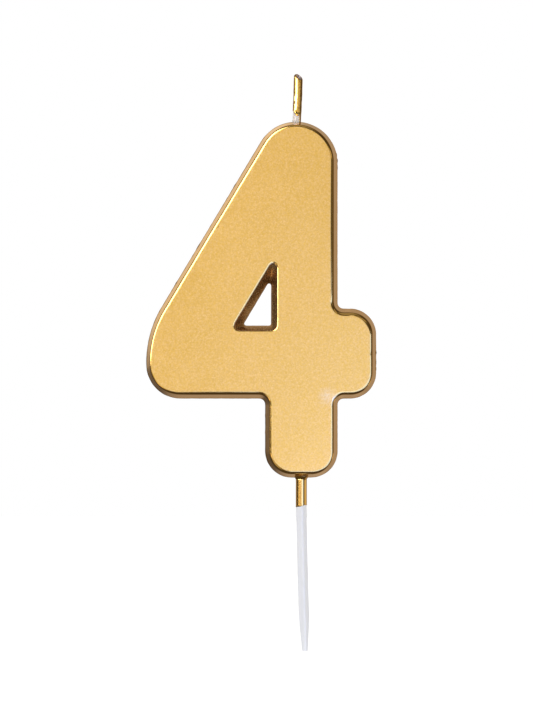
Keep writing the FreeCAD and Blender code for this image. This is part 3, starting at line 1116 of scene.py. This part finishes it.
def gold_lacquer(name, grain, roughness, coat):
    """Metallic lacquer: fine flakes, slow cloudiness, a little orange peel, and a painted
    highlight at the front face's dent.
    """
    nodes = Surface(name)
    flakes = nodes.flakes(0.22)
    speckle = nodes.noise(0.4, detail=2.0)
    clouds = nodes.noise(7.0, detail=3.0)
    warm = nodes.between(clouds, (0.9, 0.535, 0.1), (0.93, 0.56, 0.12))
    pale = nodes.blend(nodes.spread(speckle, 0.0, 0.6 * grain), warm, (0.98, 0.67, 0.27))
    patches = nodes.spread(nodes.noise(0.5, detail=3.0), 0.1, 1.0)
    # Paler patches round the dent: a painted highlight.
    painted_highlight = nodes.math("MULTIPLY", nodes.near(DENT_HIGHLIGHT_PLACE, DENT_HIGHLIGHT_REACH), patches)
    pale = nodes.blend(painted_highlight, pale, (0.99, 0.8, 0.5))
    dark = nodes.spread(flakes, 0.0, 0.5 * grain, 0.0, 1.0)
    colour = nodes.blend(dark, pale, (0.7, 0.36, 0.05))
    rough = nodes.spread(speckle, roughness * 0.88, roughness * 1.12)
    rough = nodes.math("ADD", rough, nodes.spread(clouds, -0.01, 0.01))
    peel = nodes.bump(nodes.noise(0.9, detail=2.0), 0.006)
    fine = nodes.bump(nodes.noise(0.3, detail=2.0), 0.006 * grain, peel)
    return nodes.set(
        Base_Color=colour,
        Metallic=1.0,
        Specular_Tint=(1.0, 0.78, 0.5),
        Roughness=rough,
        Normal=fine,
        Coat_Weight=coat,
        Coat_Roughness=0.12,
        Coat_IOR=1.45,
    )


def shaded_lacquer():
    """The lacquer inside the opening: a darker, browner base colour as painted shade of the
    recess, rougher, and drawn out along the wall by the spray."""
    nodes = Surface("shaded_lacquer")
    streaks = nodes.noise(0.5, detail=3.0, squeeze=(1.0, 0.22, 1.0))
    fine = nodes.noise(0.3, detail=2.0)
    # The darker, browner base colour is painted shade of the opening's recess.
    tint = nodes.between(streaks, (0.37, 0.22, 0.085), (0.58, 0.37, 0.16))
    return nodes.set(
        Base_Color=tint,
        Metallic=0.84,
        Specular_Tint=(1.0, 0.82, 0.64),
        Roughness=nodes.spread(fine, 0.22, 0.28),
        Normal=nodes.bump(streaks, 0.008),
    )


def wax_material(name, colour, under):
    """Paraffin wax: translucent, with faint mottling."""
    nodes = Surface(name)
    mottle = nodes.noise(1.4, detail=4.0)
    bloom = nodes.noise(0.25, detail=3.0)
    tint = nodes.between(mottle, colour, under)
    normal = nodes.bump(bloom, 0.02, nodes.bump(mottle, 0.03))
    return nodes.set(
        Base_Color=tint,
        Roughness=nodes.spread(bloom, 0.38, 0.55),
        Subsurface_Weight=0.2,
        Subsurface_Radius=(1.0, 0.85, 0.7),
        Subsurface_Scale=0.0008,
        Normal=normal,
    )


def cotton_material(name, dark, pale):
    """Waxed cotton yarn: fine fibres along the twist, with painted shade darkening the gaps
    between them.
    """
    nodes = Surface(name)
    fibres = nodes.noise(0.09, detail=3.0, squeeze=(1.0, 1.0, 0.12))
    # The dark tone in the gaps between fibres is painted shade.
    tint = nodes.between(fibres, dark, pale)
    return nodes.set(
        Base_Color=tint,
        Roughness=nodes.spread(fibres, 0.85, 0.6),
        Sheen_Weight=0.2,
        Normal=nodes.bump(fibres, 0.05),
    )


def plastic_material():
    """Moulded white plastic: slight flow marks and a soft gloss."""
    nodes = Surface("white_plastic")
    flow = nodes.noise(1.2, detail=3.0, squeeze=(1.0, 1.0, 0.15))
    grain = nodes.noise(0.2, detail=2.0)
    tint = nodes.between(flow, (0.80, 0.81, 0.84), (0.86, 0.86, 0.88))
    normal = nodes.bump(grain, 0.004, nodes.bump(flow, 0.02))
    return nodes.set(
        Base_Color=tint,
        Roughness=nodes.spread(grain, 0.28, 0.4),
        Subsurface_Weight=0.15,
        Subsurface_Radius=(1.0, 1.0, 1.0),
        Subsurface_Scale=0.0005,
        Normal=normal,
    )


GOLD = gold_lacquer("gold_lacquer", 1.0, 0.42, 0.0)
GLOSS_GOLD = gold_lacquer("gloss_gold_lacquer", 0.2, 0.13, 1.0)
SHADED_GOLD = shaded_lacquer()
WAX = wax_material("candle_wax", (0.93, 0.9, 0.88), (0.88, 0.84, 0.81))
CUT_WICK = cotton_material("waxed_cotton", (0.26, 0.18, 0.19), (0.6, 0.5, 0.5))
PLASTIC = plastic_material()


# ------------ the pieces


# Which faces are flat and which are wall, by how far they look along Y, how far the opening's
#  darker lacquer of painted shade goes, and the satin foot, where gloss would mirror the pick.
FLAT_FACING = 0.985
WALL_FACING = 0.85
MOUTH_MARGIN = 0.45
SATIN_FOOT = (1.4, 0.75)


def make_figure_lacquer():
    """The gold skin of the figure. The flat faces have the satin finish."""
    skin = new_piece("figure_lacquer", figure_mesh(), CANDLE, ["gold_skin"])
    cut_holes(skin)
    add_thickness(skin)
    skin.data.materials.clear()
    for material in (GOLD, GLOSS_GOLD, SHADED_GOLD):
        skin.data.materials.append(material)
    mouth = opening_outline(1.0, MOUTH_MARGIN)[0]
    for face in skin.data.polygons:
        x, z = face.center.x / MM, face.center.z / MM
        facing = abs(face.normal.y)
        if facing > FLAT_FACING or (abs(x) < SATIN_FOOT[0] and z < SATIN_FOOT[1]):
            face.material_index = 0
        elif facing < WALL_FACING and inside((x, z), mouth):
            # Walls inside the opening get the darker lacquer: painted shade of the recess.
            face.material_index = 2
        else:
            face.material_index = 1


make_figure_lacquer()
make_wick_lacquer()
make_wick_coat()
make_pick_blade()
make_pick_lacquer()
make_socket_rim()

for name in ("wax_digit", "wick_strand_1", "wick_strand_2", "wick_strand_3"):
    materials = bpy.data.objects[name].data.materials
    materials.clear()
    materials.append(WAX if name == "wax_digit" else CUT_WICK)


# ------------ stage and light

def turn_to(azimuth, elevation):
    """A direction from the object: azimuth 0 is the front, negative is the left."""
    a, e = radians(azimuth), radians(elevation)
    return Vector((sin(a) * cos(e), -cos(a) * cos(e), sin(e)))


# What the lights look at, and the main light.
MIDDLE = Vector((-6.0, 0.0, 35.0)) * MM
AT_PICK = Vector((0.0, 0.0, -3.0)) * MM
AT_WICK = Vector((-0.7, 0.0, 75.0)) * MM
KEY_WAY = turn_to(-51, 28)
KEY_DISTANCE = 0.7
KEY_SIZE = (0.7, 0.76)
# The lights: name, direction, target, distance, size, brightness, tint, and whether
# gloss or matt surfaces see them.
SOFTBOXES = [
    ("key_for_gloss", KEY_WAY, MIDDLE, KEY_DISTANCE, KEY_SIZE, 6.0, (0.95, 1.0, 1.22), True),
    ("key_for_matt", KEY_WAY, MIDDLE, KEY_DISTANCE, KEY_SIZE, 0.7, (1, 1, 1), False),
    ("low_card", turn_to(32, -24), MIDDLE, 0.19, (0.2, 0.18), 1.0, (0.86, 1.28, 3.4), True),
    ("left_card", turn_to(-55, -4), AT_PICK, 0.06, (0.034, 0.014), 0.72, (1.0, 0.88, 0.75), True),
    ("front_card", turn_to(-10, -4), AT_PICK, 0.06, (0.06, 0.014), 0.35, (0.8, 1.0, 2.6), True),
    ("right_card", turn_to(109, -4), AT_PICK, 0.06, (0.036, 0.014), 0.45, (1.0, 0.93, 0.8), True),
    ("wick_card", turn_to(44, 4), AT_WICK, 0.08, (0.05, 0.018), 0.5, (1.0, 0.92, 0.8), True),
]


def softbox(name, way, target, distance, size, glow, tint, for_gloss):
    """A rectangular area light looking at a target. One serves reflections and
    another the matt surfaces, so that the gold can be balanced against the white."""
    lamp = bpy.data.lights.new(name, "AREA")
    lamp.shape = "RECTANGLE"
    lamp.size, lamp.size_y = size
    lamp.energy = glow * pi * size[0] * size[1]
    lamp.color = tint
    thing = new_object(name, lamp)
    turn = way.to_track_quat("Z", "Y").to_matrix().to_4x4()
    thing.matrix_world = Matrix.Translation(target + way * distance) @ turn
    thing.visible_camera = False
    thing.visible_glossy = for_gloss
    thing.visible_diffuse = not for_gloss


for values in SOFTBOXES:
    softbox(*values)

# Soft patches of the room that the gold reflects: direction, half-angle where the
# patch is full, half-angle where it ends, brightness and colour.
PATCHES = [
    (turn_to(-168, 11), 5, 18, 0.5, (1.0, 0.84, 0.56)),
    (turn_to(168, 9), 16, 41, 0.34, (1.0, 0.78, 0.48)),
    (turn_to(178, -29), 4, 20, 0.2, (1.0, 0.83, 0.62)),
    (turn_to(132, -24), 6, 22, 0.42, (1.0, 0.85, 0.7)),
    (turn_to(114, -12), 6, 18, 0.22, (1.0, 0.88, 0.72)),
    (turn_to(-118, 8), 8, 30, 0.3, (1.0, 0.85, 0.6)),
    (turn_to(0, 0), 8, 34, 0.68, (1.0, 0.99, 0.91)),
    (turn_to(-46, -26), 8, 26, 0.5, (1.0, 0.95, 0.9)),
    (turn_to(-10, 78), 8, 40, 0.3, (1.0, 1.0, 1.0)),
    (turn_to(68, 6), 4, 16, 0.12, (1.0, 0.9, 0.75)),
]
# The rest of the room that the gold reflects, and the even light on matt surfaces.
ROOM = 0.07
ROOM_TINT = (1.0, 0.84, 0.7)
MATT_GLOW = 0.55


def make_world():
    """White behind the object, even light on matt surfaces, and for reflections a
    dark room with soft patches of light."""
    world = bpy.data.worlds.new("studio")
    bpy.context.scene.world = world
    world.use_nodes = True
    world.node_tree.nodes.clear()
    nodes = Nodes(world.node_tree)

    def glow(strength, colour=(1.0, 1.0, 1.0)):
        inputs = {"Color": colour, "Strength": strength}
        return nodes.add("Background", inputs).outputs["Background"]

    place = nodes.add("TexCoord", {}).outputs["Generated"]
    reflected = glow(ROOM, ROOM_TINT)
    for way, full, end, strength, colour in PATCHES:
        facing = nodes.add("VectorMath", {0: place, 1: way}, operation="DOT_PRODUCT")
        inputs = {
            "From Min": cos(radians(end)),
            "From Max": cos(radians(full)),
            "To Max": strength,
            "Value": facing.outputs["Value"],
        }
        spread = nodes.add("MapRange", inputs, interpolation_type="SMOOTHSTEP")
        patch = glow(spread.outputs["Result"], colour)
        reflected = nodes.add("AddShader", {0: reflected, 1: patch}).outputs["Shader"]
    path = nodes.add("LightPath", {})
    output = nodes.add("OutputWorld", {})
    for kind, strength in (("Is Diffuse Ray", MATT_GLOW), ("Is Camera Ray", 1.0)):
        choice = nodes.add("MixShader", {"Fac": path.outputs[kind], 1: reflected})
        nodes.fill(choice.inputs[2], glow(strength))
        reflected = choice.outputs["Shader"]
    nodes.fill(output.inputs["Surface"], reflected)


make_world()


def make_floor():
    """A plain pale table under the pick's tip, too bright to show an edge."""
    half = 0.5
    z = PICK_LOW[2] * MM
    mesh = bpy.data.meshes.new("floor")
    corners = [(-half, -half, z), (half, -half, z), (half, half, z), (-half, half, z)]
    mesh.from_pydata(corners, [], [(0, 1, 2, 3)])
    floor = new_object("floor", mesh)
    nodes = Surface("pale_table")
    tint = nodes.blend(nodes.noise(3.0), (0.84, 0.84, 0.84), (0.88, 0.88, 0.88))
    white = (1.0, 1.0, 1.0)
    nodes.set(Base_Color=tint, Roughness=0.8, Emission_Color=white, Emission_Strength=0.75)
    mesh.materials.append(nodes.material)
    floor.visible_glossy = False


make_floor()


# The camera: its distance, the height it sees at the figure, its place and sensor.
CAMERA_DISTANCE = 0.6
VIEW_HEIGHT = 0.14
AIM_X = -6.86
AIM_Z = 24.0
SENSOR = 36.0


def make_camera():
    """Level, square to the figure's face, through a long lens."""
    lens = bpy.data.cameras.new("camera")
    lens.sensor_fit = "VERTICAL"
    lens.sensor_height = SENSOR
    lens.lens = SENSOR * CAMERA_DISTANCE / VIEW_HEIGHT
    lens.clip_start = 0.01
    camera = new_object("camera", lens)
    camera.location = (AIM_X * MM, -CAMERA_DISTANCE, AIM_Z * MM)
    camera.rotation_euler = (pi / 2, 0.0, 0.0)
    bpy.context.scene.camera = camera


make_camera()

bpy.context.scene.view_settings.view_transform = "Standard"
bpy.context.scene.view_settings.look = "None"
